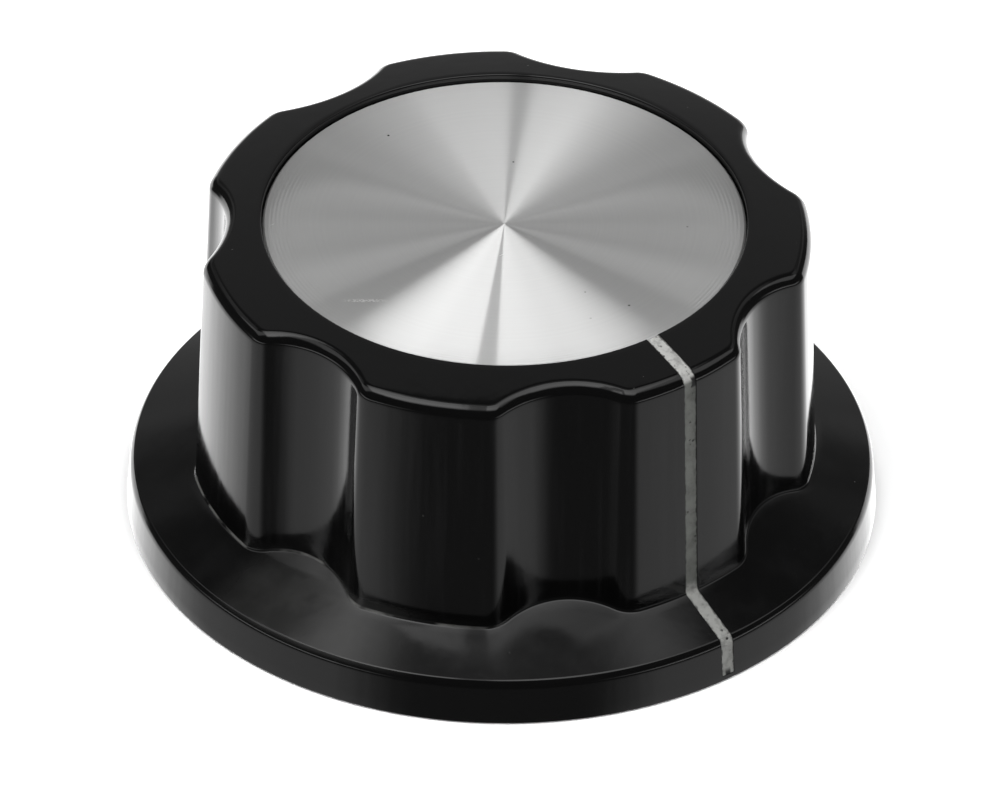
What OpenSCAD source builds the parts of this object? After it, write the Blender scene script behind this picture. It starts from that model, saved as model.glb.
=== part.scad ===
// Adjustment knob: a fluted grip on a flared skirt, with a turned cap disc and a filled pointer line.
// Z is the shaft axis, the panel side is at z = 0 and the pointer looks along -Y.

/* [Skirt] */
// Diameter across the foot of the skirt
skirt_d = 38; // [36:0.5:48]
// Width of the ledge between the rim's foot and the lobes
ledge_w = 3.15; // [2.5:0.05:4]
// Height of the rim's upper edge before it is rounded
rim_h = 2.4; // [2:0.05:3]
// Lean of the rim, in degrees
rim_lean = 4.5; // [2:0.5:10]
// Fall of the skirt's upper face, in degrees
skirt_slope = 22; // [12:0.5:26]
// Rounding of the rim's upper edge
rim_round = 0.85; // [0.4:0.05:1.2]
// Faint edge where that rounding leaves the skirt, in degrees
rim_break = 26; // [0:1:35]

/* [Grip] */
// Height of the knob, panel side to cap lip
knob_h = 17.4; // [16:0.1:22]
// Draft of the flank, in degrees
grip_draft = 1.75; // [0.5:0.25:2.5]
// Number of flutes
flutes = 7; // [6:1:9]
// Radius of a flute in plan
flute_r = 5.35; // [4:0.05:6]
// Depth of a flute below the lobes
flute_depth = 1.43; // [0.8:0.01:1.8]
// Rounding in plan where a lobe turns into a flute
corner_r = 1.7; // [1:0.05:2.2]
// Radius of the slightly domed top
dome_r = 72; // [50:1:150]
// Rounding of the grip's upper edge
edge_round = 0.6; // [0.3:0.05:0.8]
// Rounding where the grip runs into the skirt
foot_round = 0.12; // [0.08:0.02:0.3]

/* [Cap disc] */
// Width of the ring between the lobes and the disc
ring_w = 3.7; // [3:0.05:5]
// Thickness of the disc
disc_t = 0.8; // [0.5:0.1:1.2]
// Bevel of the disc's upper edge
disc_edge = 0.1; // [0.05:0.01:0.2]
// Set of the disc's face below the lip
disc_set = 0.34; // [0.1:0.02:0.6]
// Play all round between the disc and its recess
disc_play = 0.07; // [0.02:0.01:0.2]
// Bevel of the recess lip
lip_bevel = 0.12; // [0.05:0.01:0.2]

/* [Pointer line] */
// Width of the pointer line
line_w = 0.75; // [0.5:0.05:1.2]
// Depth of its groove
line_depth = 0.35; // [0.2:0.05:0.45]
// Set of the paint below the moulding
line_set = 0.04; // [0.02:0.01:0.1]
// Height above the panel side where the groove ends
line_end = 0.3; // [0.1:0.05:0.8]

/* [Shaft bush] */
// Bore for a 6 mm shaft
bore_d = 6.05; // [6.02:0.01:6.1]
// Thickness of the bush beyond the bore
bore_end = 1; // [0.6:0.1:2]
// Bevel at the mouth of the bore
bore_bevel = 0.4; // [0.2:0.05:0.6]
// Size of the bush across its flats
bush_flats = 12; // [11:0.5:13]
// Thickness of the moulding between the bush and the disc
cap_web = 2.26; // [1.5:0.02:3]
// Width of the groove that keys the bush into the moulding
key_w = 1.2; // [0.8:0.1:1.5]
// Depth of that groove below the flats
key_depth = 0.5; // [0.3:0.05:0.8]

/* [Set screw] */
// Thread diameter of the set screw
screw_d = 4; // [3:0.5:4.5]
// Length of the set screw
screw_len = 6; // [4:0.5:8]
// Set of the screw's tip back from the bore
tip_back = 0.6; // [0.3:0.1:1]
// Width of the driver slot
slot_w = 0.7; // [0.5:0.05:1]
// Depth of the driver slot
slot_depth = 1.3; // [0.8:0.1:1.6]
// Play all round in the hole through the moulding
access_play = 0.2; // [0.1:0.05:0.4]
// Thickness of the moulding beside that hole
access_wall = 1.3; // [1:0.1:1.8]

/* [Underside] */
// Width of the rim that stands on the panel
stand_w = 1.8; // [1.2:0.1:2.2]
// Depth of the relief inside that rim
relief_h = 1.1; // [0.6:0.1:1.4]
// Height of the boss end above the panel side
boss_lift = 3; // [2:0.1:3.5]
// Thickness of the boss over the corners of the bush
boss_wall = 1.25; // [1:0.05:1.6]
// Thickness of the wall behind a flute
wall_t = 2.7; // [2.4:0.05:3.2]
// Thickness of the roof between the hollow and the disc
roof_t = 3.86; // [3:0.02:5]
// Number of ribs across the hollow
ribs = 6; // [3:1:8]
// Thickness of a rib
rib_t = 1.4; // [1:0.1:2]

/* [Hidden] */

$fn = 96;

// Overrun of every cut past the face it opens
over = 0.5;

skirt_r = skirt_d / 2;
rim_edge_r = skirt_r - rim_h * tan(rim_lean);
grip_r = skirt_r - ledge_w;
flute_floor_r = grip_r - flute_depth;
disc_r = grip_r - ring_w;
recess_r = disc_r + disc_play;
lip_r = recess_r + lip_bevel;
disc_top = knob_h - disc_set;
disc_base = disc_top - disc_t;

bore_r = bore_d / 2;
bush_r = bush_flats / 2;
bush_corner_r = bush_r / cos(30);
bush_len = disc_base - cap_web - boss_lift;
bore_depth = bush_len - bore_end;
key_z = boss_lift + bush_len - 2 * key_w;
boss_r = bush_corner_r + boss_wall;
hollow_r = flute_floor_r - wall_t;
hollow_h = disc_base - roof_t;

screw_r = screw_d / 2;
screw_z = boss_lift + bush_len / 2;
access_r = screw_r + access_play;
screw_rib_t = 2 * (access_r + access_wall);

// Steps along half a lobe, a corner, half a flute and each rounding
lobe_steps = 3;
corner_steps = 4;
flute_steps = 5;
round_steps = 4;

// Plan of the grip: lobe arcs about the shaft, corner arcs and flute arcs, all tangent
pitch = 360 / flutes;
half_pitch = pitch / 2;
flute_c = flute_floor_r + flute_r;
corner_c = grip_r - corner_r;
corner_reach = flute_r + corner_r;
corner_swing = acos((corner_c ^ 2 + flute_c ^ 2 - corner_reach ^ 2) / (2 * corner_c * flute_c));
corner_az = half_pitch - corner_swing;
corner_at = corner_c * [cos(corner_az), sin(corner_az)];
flute_at = flute_c * [cos(half_pitch), sin(half_pitch)];
corner_end = atan2(flute_at.y - corner_at.y, flute_at.x - corner_at.x);

// Faces that the grip is blended into
function skirt_z(r) = rim_h + (rim_edge_r - r) * tan(skirt_slope);
function dome_z(r) = knob_h - sqrt(dome_r ^ 2 - lip_r ^ 2) + sqrt(dome_r ^ 2 - r ^ 2);

function toward(a) = [cos(a), sin(a)];
function turned(p, a) = [p.x * cos(a) - p.y * sin(a), p.x * sin(a) + p.y * cos(a)];
function between(a, b, share) = a + (b - a) * share;

// Half a pitch of the plan, lobe middle to flute middle, moved out by grow
function half_plan(grow) = concat(
    [for (k = [0 : lobe_steps]) (grip_r + grow) * toward(corner_az * k / lobe_steps)],
    [for (k = [1 : corner_steps])
        corner_at + (corner_r + grow) * toward(between(corner_az, corner_end, k / corner_steps))],
    [for (k = [1 : flute_steps])
        flute_at - (flute_r - grow) * toward(between(corner_end, half_pitch, k / flute_steps))]
);
half_steps = lobe_steps + corner_steps + flute_steps;
loop_count = 2 * half_steps * flutes;

function whole_plan(grow) = let (half = half_plan(grow)) [
    for (lobe = [0 : flutes - 1], k = [0 : 2 * half_steps - 1])
        k <= half_steps
            ? turned(half[k], pitch * lobe)
            : let (p = half[2 * half_steps - k]) turned([p.x, -p.y], pitch * (lobe + 1))
];

// Roundings as [growth of the plan, height from the face blended into]
sink_share = 0.2;
foot_sink = foot_round * sink_share;
flank_h = dome_z(grip_r) - skirt_z(grip_r);
top_grow = -flank_h * tan(grip_draft);
foot_steps = [for (k = [0 : round_steps]) let (a = 90 * k / round_steps)
    [foot_round * (1 - sin(a)), foot_round * (1 - cos(a)) - foot_sink]];
edge_steps = [for (k = [0 : round_steps]) let (a = 90 * k / round_steps)
    [top_grow - edge_round * (1 - cos(a)), -edge_round * (1 - sin(a))]];

function on_skirt(plan, lift) = [for (p = plan) [p.x, p.y, skirt_z(norm(p)) + lift]];
function on_dome(plan, lift) = [for (p = plan) [p.x, p.y, dome_z(norm(p)) + lift]];
function at_height(plan, z) = [for (p = plan) [p.x, p.y, z]];
function to_crown(plan, share) = [for (p = plan) p * between(1, disc_r / norm(p), share)];

crown_plan = whole_plan(edge_steps[round_steps][0]);
crown_shares = [0.5, 1];
grip_base_z = rim_h / 2;
grip_loops = concat(
    [at_height(whole_plan(foot_round), grip_base_z)],
    [for (s = foot_steps) on_skirt(whole_plan(s[0]), s[1])],
    [for (s = edge_steps) on_dome(whole_plan(s[0]), s[1])],
    [for (share = crown_shares) on_dome(to_crown(crown_plan, share), 0)]
);

// Section of the skirt and the path of the pointer line down a lobe's middle
rim_turn = 90 - skirt_slope - rim_lean;
rim_run = rim_round * (cos(rim_break) - cos(rim_turn)) / sin(rim_turn);
rim_centre = [rim_edge_r, rim_h] - rim_round * toward(rim_lean) + rim_run * toward(rim_lean - 90);
rim_edge = [for (k = [0 : round_steps])
    rim_centre + rim_round * toward(rim_lean + between(rim_turn - rim_break, 0, k / round_steps))];
skirt_core_r = flute_floor_r - corner_r;
line_over = foot_round / 2;
line_start_r = recess_r - disc_play / 2;
function line_path(start_r) = concat(
    [for (share = reversed(crown_shares))
        let (r = between(grip_r + edge_steps[round_steps][0], start_r, share)) [r, dome_z(r)]],
    [for (k = [round_steps : -1 : 0]) let (r = grip_r + edge_steps[k][0])
        [r, dome_z(r) + edge_steps[k][1]]],
    [for (k = [round_steps : -1 : 0]) let (r = grip_r + foot_steps[k][0])
        [r, skirt_z(r) + foot_steps[k][1] + foot_sink]],
    rim_edge,
    [[skirt_r - line_end * tan(rim_lean), line_end]]
);

function normal_of(a, b) = let (d = (b - a) / norm(b - a)) [-d.y, d.x];
function moved_path(path, out) = let (last = len(path) - 1) [
    for (i = [0 : last])
        let (
            n1 = normal_of(path[max(i - 1, 0)], path[max(i, 1)]),
            n2 = normal_of(path[min(i, last - 1)], path[min(i + 1, last)])
        )
        path[i] + out * (n1 + n2) / (1 + n1 * n2)
];
function reversed(list) = [for (i = [len(list) - 1 : -1 : 0]) list[i]];

// Solid grip, lofted through its loops and closed about the shaft axis
module grip() {
    count = len(grip_loops);
    ends = [[0, 0, grip_base_z], [0, 0, dome_z(disc_r)]];
    foot_end = count * loop_count;
    rotate(-90)
        polyhedron(
            points = concat([for (loop = grip_loops) each loop], ends),
            faces = [
                for (j = [0 : loop_count - 1])
                    let (next = (j + 1) % loop_count, top = (count - 1) * loop_count)
                    each concat(
                        [[foot_end, j, next]],
                        [for (i = [0 : count - 2]) let (a = i * loop_count) each [
                            [a + j, a + loop_count + j, a + loop_count + next],
                            [a + j, a + loop_count + next, a + next]
                        ]],
                        [[foot_end + 1, top + next, top + j]]
                    )
            ]
        );
}

module skirt() {
    rotate_extrude()
        polygon(concat(
            [[0, 0], [skirt_r, 0]],
            reversed(rim_edge),
            [[skirt_core_r, skirt_z(skirt_core_r)], [0, skirt_z(skirt_core_r)]]
        ));
}

module cap_recess() {
    translate([0, 0, disc_base])
        cylinder(r = recess_r, h = knob_h - disc_base + over);
    translate([0, 0, knob_h - lip_bevel])
        cylinder(r1 = recess_r, r2 = recess_r + lip_bevel + over, h = lip_bevel + over);
}

// Band that follows the lobe's section outward from start_r, from set below the face down to depth
module line_band(start_r, set, depth) {
    path = line_path(start_r);
    rotate([90, 0, -90])
        linear_extrude(height = line_w, center = true)
            polygon(concat(moved_path(path, -set), reversed(moved_path(path, -depth))));
}

// Hexagon bar with a turned groove that the moulding flows into
module bush_blank() {
    difference() {
        translate([0, 0, boss_lift])
            cylinder(r = bush_corner_r, h = bush_len, $fn = 6);
        translate([0, 0, key_z])
            difference() {
                cylinder(r = bush_corner_r + over, h = key_w);
                cylinder(r = bush_r - key_depth, h = key_w);
            }
    }
}

module cross_hole(r) {
    translate([0, 0, screw_z])
        rotate([-90, 0, 0])
            cylinder(r = r, h = skirt_r);
}

// Plates about the shaft axis that stay standing in the hollow, the first one round the screw
module rib_plates() {
    for (k = [0 : ribs - 1])
        let (t = k == 0 ? screw_rib_t : rib_t)
            rotate(90 + 360 * k / ribs)
                translate([0, -t / 2, 0])
                    cube([hollow_r + over, t, hollow_h + over]);
}

module underside() {
    translate([0, 0, -over]) {
        cylinder(r = skirt_r - stand_w, h = relief_h + over);
        cylinder(r = boss_r, h = boss_lift + over);
        difference() {
            cylinder(r = hollow_r, h = hollow_h + over);
            cylinder(r = boss_r, h = hollow_h + over);
            rib_plates();
        }
    }
}

module knob_body() {
    color([0.06, 0.06, 0.06])
        difference() {
            union() {
                grip();
                skirt();
            }
            cap_recess();
            line_band(line_start_r, -line_over, line_depth);
            underside();
            bush_blank();
            cross_hole(access_r);
        }
}

module cap_disc() {
    color([0.78, 0.78, 0.77])
        translate([0, 0, disc_base])
            rotate_extrude()
                polygon([
                    [0, 0],
                    [disc_r, 0],
                    [disc_r, disc_t - disc_edge],
                    [disc_r - disc_edge, disc_t],
                    [0, disc_t]
                ]);
}

module pointer_line() {
    color([0.8, 0.8, 0.77])
        line_band(lip_r, line_set, line_depth);
}

module shaft_bush() {
    color([0.72, 0.55, 0.25])
        difference() {
            bush_blank();
            translate([0, 0, boss_lift - over])
                cylinder(r = bore_r, h = bore_depth + over);
            translate([0, 0, boss_lift])
                cylinder(r1 = bore_r + bore_bevel, r2 = bore_r, h = bore_bevel);
            cross_hole(screw_r);
        }
}

module set_screw() {
    color([0.45, 0.45, 0.47])
        translate([0, bore_r + tip_back, screw_z])
            rotate([-90, 0, 0])
                difference() {
                    cylinder(r = screw_r, h = screw_len);
                    translate([-screw_r - over, -slot_w / 2, screw_len - slot_depth])
                        cube([screw_d + 2 * over, slot_w, slot_depth + over]);
                }
}

knob_body();
cap_disc();
pointer_line();
shaft_bush();
set_screw();
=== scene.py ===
"""Looks of the adjustment knob: a fine moulding in glossy black phenolic, a turned aluminium cap disc,
a filled pointer line and the metal of the shaft hardware, on a plain pale floor."""

import math

import bmesh
import bpy
import numpy as np
from bpy.props import FloatProperty, FloatVectorProperty, IntProperty, PointerProperty
from mathutils import Matrix, Vector


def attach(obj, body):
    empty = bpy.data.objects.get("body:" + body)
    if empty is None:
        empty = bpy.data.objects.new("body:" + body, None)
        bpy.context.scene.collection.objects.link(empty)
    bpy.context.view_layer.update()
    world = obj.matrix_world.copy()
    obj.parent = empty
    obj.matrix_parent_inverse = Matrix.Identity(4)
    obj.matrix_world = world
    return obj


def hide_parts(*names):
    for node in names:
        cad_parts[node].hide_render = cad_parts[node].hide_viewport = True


bl_info = {
    "name": "Adjustment Knob Looks",
    "version": (1, 0, 0),
    "blender": (4, 5, 0),
    "location": "View3D > Sidebar > Knob",
    "description": "Builds the looks of a skirted, fluted adjustment knob around its solid model",
    "category": "Object",
}

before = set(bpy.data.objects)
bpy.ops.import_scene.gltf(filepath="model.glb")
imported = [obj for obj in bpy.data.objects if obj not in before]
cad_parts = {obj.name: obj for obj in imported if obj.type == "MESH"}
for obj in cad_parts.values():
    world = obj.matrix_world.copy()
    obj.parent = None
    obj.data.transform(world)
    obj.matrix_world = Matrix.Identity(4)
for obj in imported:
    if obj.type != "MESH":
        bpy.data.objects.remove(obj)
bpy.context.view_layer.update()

MM = 0.001

# Steps of the moulding's mesh over each stretch of its plan and of its section
LOBE_STEPS, CORNER_STEPS, FLUTE_STEPS = 8, 10, 12
LIP_STEPS, RING_STEPS, EDGE_STEPS, FLANK_STEPS = 6, 9, 14, 25
FOOT_STEPS, SKIRT_STEPS, RIM_STEPS, SOLE_STEPS = 8, 8, 10, 5
LINE_STEPS = 4
ROD_SIDES = 64
# Loops across the rim's face, and the last one on the skirt before the faint edge
RIM_SHARES = (0.33, 0.67)
BREAK_SHARE = 0.985
# The bush seat's flats against the bush's own, and how far joined shapes run into each other
SEAT_SHARE = 1.002
ROOT_SINK = 0.02 * MM
HOLE_SINK = 0.5 * MM
OVERRUN = 0.4 * MM
# Edges sharper than this stay sharp
SHARP_EDGE = math.radians(32)

# Fades of a finish, in millimetres above the rim's edge, the lobes' foot, the lobes' top and the line's end
SKIRT_FROM_RIM = (-0.2, 0.1)
SKIRT_TO_FOOT = (0.8, 0.3)
FLANK_FROM_FOOT = (0.3, 1.0)
FLANK_TO_TOP = (-0.3, -0.7)
PAINT_FROM_TOP = (-0.35, -0.1)
PAINT_TO_FOOT = (0.7, 0.3)
BEND_FROM_TOP = (-0.7, -0.55)
BEND_TO_TOP = (0.0, -0.2)
WORN_TO_END = (0.45, 0.1)
# Fades across the pointer line, in millimetres from its middle
CHIP_ACROSS = (0.46, 0.54)
WORN_ACROSS = (0.22, 0.1)
LOST_ACROSS = (0.2, 0.3)
SHADE_ACROSS = (-0.25, 0.3)

# Light panel, in slopes from straight above: P runs away from the camera, Q to its right
PANEL_P = (-0.72, 0.30, 0.05)
PANEL_Q = (0.71, 0.54)
PANEL_SLANT = 0.4
PANEL_FAR, PANEL_FAR_DIM = (0.0, 0.25), 0.42
PANEL_NEAR, PANEL_NEAR_DIM = (-0.5, -0.72), 0.6
PANEL_BAND, PANEL_BAND_GAIN = (-0.5, -0.2, 0.08), 0.2
NOTCH_P, NOTCH_Q, NOTCH_DIM = (0.05, 0.11), (0.32, 0.16), 0.86
GAP_WIDTH, GAP_END, GAP_DIM = (-0.113, -0.026, 0.004), (0.10, 0.06), 0.69
# Wings beside the panel and dim panels at both sides, in the same slopes
WING_LEAN, WING_EDGE = 0.75, (-0.36, -0.5)
WING_P, WING_Q = (-0.45, -0.2), (0.65, 1.6, 0.07)
SIDE_LEAN, SIDE_EDGE, SIDE_FAR = 0.4, (0.8, 0.96), (1.5, 0.8)
SIDE_IN, SIDE_OUT = (0.76, 0.9), (1.8, 1.3)
LOW_SIDE_P, LOW_SIDE_Q, LOW_SIDE_SHARE = (1.3, 2.6, 0.3), (1.15, 1.8, 0.15), 0.55
# Room behind the knob, by slope, by width and by height
BACK_P, BACK_LEAN, BACK_WIDTH = (0.52, 0.58), 0.45, (0.3, 0.0)
CORNER_Z, CORNER_ACROSS, CORNER_DIM = (0.36, 0.42), (0.3, 0.38), 0.5
LOW_BACK_Z, LOW_BACK = (0.45, 0.1), 0.06
HORIZON_BACK_Z, HORIZON_BACK = (0.15, 0.05), 0.34
# Mirrored floor, by height below the horizon and by how far a direction faces the camera
FLOOR_Z, HORIZON_Z = (-0.20, -0.34), (0.0, -0.01)
FRONT_FACING, BEHIND_FACING = (0.62, 0.92), (-0.1, -0.95)
FAR_Z, FAR_FACING = (-0.10, -0.01, 0.01), (-0.2, 0.2)
BRIGHT_BEHIND_Z, BRIGHT_BEHIND_FACING = (0.0, -0.04), (-0.5, -0.65)
LEAST_RISE, LEAST_REACH = 0.02, 0.001


def length(label, about, value):
    """A length setting, given in millimetres."""
    return FloatProperty(name=label, description=about, default=value * MM, unit="LENGTH", precision=5)


def angle(label, about, degrees):
    """An angle setting, given in degrees."""
    return FloatProperty(name=label, description=about, default=math.radians(degrees), subtype="ANGLE")


def share(label, about, value):
    """A setting between nought and one."""
    return FloatProperty(name=label, description=about, default=value, min=0.0, max=1.0, subtype="FACTOR")


def number(label, about, value):
    """A plain number."""
    return FloatProperty(name=label, description=about, default=value, min=0.0)


def colour(label, about, value):
    """A linear colour."""
    return FloatVectorProperty(name=label, description=about, default=value, size=3, min=0.0, subtype="COLOR")


def stretch(label, about, value):
    """How many times a mark is drawn out along X, Y and Z."""
    return FloatVectorProperty(name=label, description=about, default=value, size=3, min=0.0, subtype="XYZ")


class MouldingSettings(bpy.types.PropertyGroup):
    """Sizes of the moulding, the same as the solid model's."""

    skirt_r: length("Skirt radius", "Radius at the foot of the skirt", 19.0)
    ledge_w: length("Ledge width", "From the rim's foot to the lobes", 3.15)
    rim_h: length("Rim height", "Height of the rim's upper edge", 2.4)
    rim_lean: angle("Rim lean", "Lean of the rim", 4.5)
    skirt_slope: angle("Skirt slope", "Fall of the skirt's upper face", 22.0)
    rim_round: length("Rim rounding", "Rounding of the rim's upper edge", 0.85)
    rim_break: angle("Rim break", "Faint edge where that rounding leaves the skirt", 26.0)
    knob_h: length("Knob height", "Panel side to cap lip", 17.4)
    grip_draft: angle("Grip draft", "Draft of the flank", 1.75)
    flutes: IntProperty(name="Flutes", description="Number of flutes", default=7, min=5)
    flute_r: length("Flute radius", "Radius of a flute in plan", 5.35)
    flute_depth: length("Flute depth", "Depth of a flute below the lobes", 1.43)
    corner_r: length("Corner radius", "Rounding in plan from lobe to flute", 1.7)
    dome_r: length("Dome radius", "Radius of the slightly domed top", 72.0)
    edge_round: length("Edge rounding", "Rounding of the grip's upper edge", 0.6)
    foot_round: length("Foot rounding", "Rounding where the grip runs into the skirt", 0.12)
    ring_w: length("Ring width", "From the lobes to the disc", 3.7)
    recess_floor: length("Recess floor", "Height of the recess floor", 16.26)
    disc_play: length("Disc play", "Between the disc and its recess", 0.07)
    lip_bevel: length("Lip bevel", "Rounding of the recess lip", 0.12)
    line_w: length("Line width", "Width of the pointer line", 0.75)
    line_depth: length("Line depth", "Depth of the pointer groove", 0.35)
    line_end: length("Line end", "Height where the groove ends", 0.3)
    foot_edge: length("Foot edge", "Rounding of the edge the knob stands on", 0.08)
    stand_w: length("Standing rim", "Width of the rim on the panel", 1.8)
    relief_h: length("Relief depth", "Depth of the relief inside the standing rim", 1.1)
    wall_t: length("Wall", "Wall behind a flute", 2.7)
    hollow_h: length("Hollow height", "Height of the hollow's roof", 12.4)
    boss_wall: length("Boss wall", "Moulding over the corners of the bush", 1.25)
    boss_lift: length("Boss lift", "Height of the boss end", 3.0)
    bush_r: length("Bush half flats", "Half the bush across its flats", 6.0)
    seat_top: length("Seat top", "Height of the bush's far end", 14.0)
    ribs: IntProperty(name="Ribs", description="Ribs across the hollow", default=6, min=3)
    rib_t: length("Rib", "Thickness of a rib", 1.4)
    screw_rib_t: length("Screw rib", "Thickness of the rib round the screw", 7.0)
    access_r: length("Access radius", "Radius of the screw's access hole", 2.2)
    access_z: length("Access height", "Height of the screw's access hole", 8.5)

    @property
    def grip_r(self):
        """Radius over the lobes."""
        return self.skirt_r - self.ledge_w

    @property
    def edge_r(self):
        """Radius where the rim and the skirt would meet without their rounding."""
        return self.skirt_r - self.rim_h * math.tan(self.rim_lean)

    @property
    def recess_r(self):
        """Radius of the recess for the disc."""
        return self.grip_r - self.ring_w + self.disc_play

    @property
    def lip_r(self):
        """Radius where the top meets the recess lip."""
        return self.recess_r + self.lip_bevel

    @property
    def hollow_r(self):
        """Radius of the hollow inside the grip."""
        return self.grip_r - self.flute_depth - self.wall_t

    @property
    def boss_r(self):
        """Radius of the boss round the hexagonal bush."""
        return self.bush_r / math.cos(math.pi / 6) + self.boss_wall


class PhenolicSettings(bpy.types.PropertyGroup):
    """Look of the black moulding."""

    tone: colour("Colour", "Colour of the moulding", (0.0026, 0.0026, 0.0027))
    ior: number("IOR", "Index of refraction", 1.5)
    gloss: share("Roughness", "Roughness of the clean face", 0.09)
    wear_lift: number("Wear lift", "How many times lighter a worn patch is than the clean face", 6.0)
    haze_size: length("Haze size", "Size of the dull patches all over", 5.0)
    haze_rough: share("Haze roughness", "Roughness added by those patches", 0.05)
    fine_size: length("Grain size", "Size of the fine grain", 0.35)
    fine_rough: share("Grain roughness", "Roughness added by the grain", 0.03)
    fine_h: length("Grain height", "Height of the grain", 0.0006)
    smudge_size: length("Smudge size", "Size of the smudges on the skirt", 2.3)
    smudge_rough: share("Smudge roughness", "Roughness added by a smudge", 0.05)
    smudge_wear: share("Smudge wear", "How far a smudge lightens the face", 0.25)
    streak_size: length("Streak size", "Width of the streaks on the flank", 0.55)
    streak_draw: number("Streak draw", "How many times longer than wide a streak is", 40.0)
    streak_rough: share("Streak roughness", "Roughness added by a streak", 0.04)
    streak_wear: share("Streak wear", "How far a streak lightens the face", 0.5)
    speck_tone: colour("Speck colour", "Colour of the specks and scratches", (0.16, 0.16, 0.155))
    speck_rough: share("Speck roughness", "Roughness added by a speck or scratch", 0.3)
    speck_wear: share("Speck wear", "How far a speck shows beside a scratch", 0.5)
    speck_apart: length("Speck spacing", "Distance between specks of dust", 1.1)
    speck_field: length("Speck field", "Size of the areas where specks gather", 3.0)
    scratch_apart: length("Scratch spacing", "Distance between scratches on the skirt", 0.9)
    scratch_field: length("Scratch field", "Size of the areas where scratches gather", 2.2)
    scratch_draw: stretch("Scratch draw", "How scratches are drawn out", (0.35, 3.0, 0.6))
    wave_size: length("Wave size", "Width of the soft waves up the flank", 1.3)
    wave_draw: number("Wave draw", "How many times longer than wide a wave is", 30.0)
    wave_h: length("Wave height", "Height of those waves", 0.012)
    swell_size: length("Swell size", "Size of the soft swells all over", 2.4)
    swell_h: length("Swell height", "Height of the swells", 0.004)
    skirt_calm: share("Skirt calm", "How far the skirt is free of waves", 0.7)
    # The next five settings are a painted sheen: a lighter sector of the skirt around one bearing, made
    # stronger where the skirt is smudged.
    sheen_tone: colour("Film colour", "Colour of the film on one side of the skirt", (0.047, 0.047, 0.046))
    sheen_bearing: angle("Film bearing", "Bearing of the film's middle about the shaft axis", -160.0)
    sheen_spread: angle("Film spread", "From the film's middle to its faded ends", 21.0)
    sheen_cover: share("Film cover", "Cover of the film between smudges", 0.75)
    sheen_smudge: share("Film smudge", "Cover that a smudge adds to the film", 0.5)
    # The next seven settings are a painted highlight: a light line in the fillet at the grip's foot towards
    # -X, standing in for the light that this fillet mirrors.
    foot_highlight_tone: colour("Crease colour", "Colour of the dust at the grip's foot", (0.5, 0.5, 0.48))
    foot_highlight_cover: share("Crease cover", "How far that dust hides the face", 0.4)
    foot_highlight_rough: share("Crease roughness", "Roughness added by that dust", 0.4)
    foot_highlight_h: length("Crease height", "Height of the dust line above the skirt", 0.12)
    foot_highlight_size: length("Crease size", "Length of the dusty stretches", 2.0)
    foot_highlight_start: length("Crease start", "Distance towards -X where the dust begins", 8.0)
    foot_highlight_full: length("Crease full", "Distance towards -X where the dust is full", 13.0)


class DiscSettings(bpy.types.PropertyGroup):
    """Look of the turned disc."""

    tone: colour("Colour", "Colour of the aluminium", (0.95, 0.95, 0.945))
    stain_share: share("Stain", "Tone of stained rings and patches beside the clean tone", 0.94)
    roughness: share("Roughness", "Roughness of the turned face", 0.13)
    back_roughness: share("Back roughness", "Roughness of the faces that lean inward", 0.27)
    hazy_roughness: share("Haze roughness", "Roughness of the fine scratches", 0.8)
    anisotropy: share("Anisotropy", "How far the turning draws out reflections", 1.0)
    draw_turn: share("Draw turn", "Turn of the drawn-out reflections, as a share of a full turn", 0.25)
    facet: angle("Facet", "Outward lean of the turning marks' broad faces", 28.0)
    back_facet: angle("Back facet", "Inward lean of the marks' other faces", 35.0)
    inward: share("Inward share", "Share of the marks' faces that lean inward", 0.46)
    haze: share("Haze", "Share of light that scatters widely from fine scratches", 0.34)
    edge_haze: share("Edge haze", "Haze added towards the edge", 0.03)
    scratch_haze: share("Scratch haze", "Haze added by a scratch", 0.4)
    haze_start: length("Haze start", "Radius where the added haze begins", 7.0)
    face_r: length("Face radius", "Radius of the turned face inside its bevelled edge", 12.05)
    pitch: length("Turning pitch", "Distance between turning marks", 0.2)
    turn_h: length("Turning height", "Height of the turning marks", 0.0006)
    edge_turn_h: length("Edge turning height", "Height added to the marks at the edge", 0.003)
    edge_start: length("Edge start", "Radius where the marks begin to deepen", 10.2)
    edge_full: length("Edge full", "Radius where they are deepest", 11.8)
    rings_per_mm: number("Rings", "Chance rings in a millimetre", 6.0)
    ring_h: length("Ring height", "Height of the chance rings", 0.0055)
    ring_stain: share("Ring stain", "How far a chance ring is stained", 0.3)
    stain_size: length("Stain size", "Size of the stained patches", 4.0)
    patch_stain: share("Patch stain", "How far a patch is stained", 0.2)
    pit_tone: colour("Pit colour", "Colour of a pit", (0.03, 0.03, 0.03))
    pit_apart: length("Pit spacing", "Distance between pits", 1.6)
    pit_field: length("Pit field", "Size of the areas where pits gather", 2.5)
    scratch_apart: length("Scratch spacing", "Distance between scratches", 1.5)
    scratch_field: length("Scratch field", "Size of the areas where scratches gather", 3.0)
    scratch_draw: stretch("Scratch draw", "How scratches are drawn out", (2.5, 0.5, 1.0))
    rub_x: length("Rub X", "Middle of the rubbed patch", -9.5)
    rub_y: length("Rub Y", "Middle of the rubbed patch", -1.05)
    rub_bearing: angle("Rub bearing", "Bearing of the rubbed patch", -37.0)
    rub_l: length("Rub length", "Length of the rubbed patch", 2.6)
    rub_w: length("Rub width", "Width of the rubbed patch", 0.36)
    rub_size: length("Rub mark", "Size of the marks in the rubbed patch", 0.14)


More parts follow.
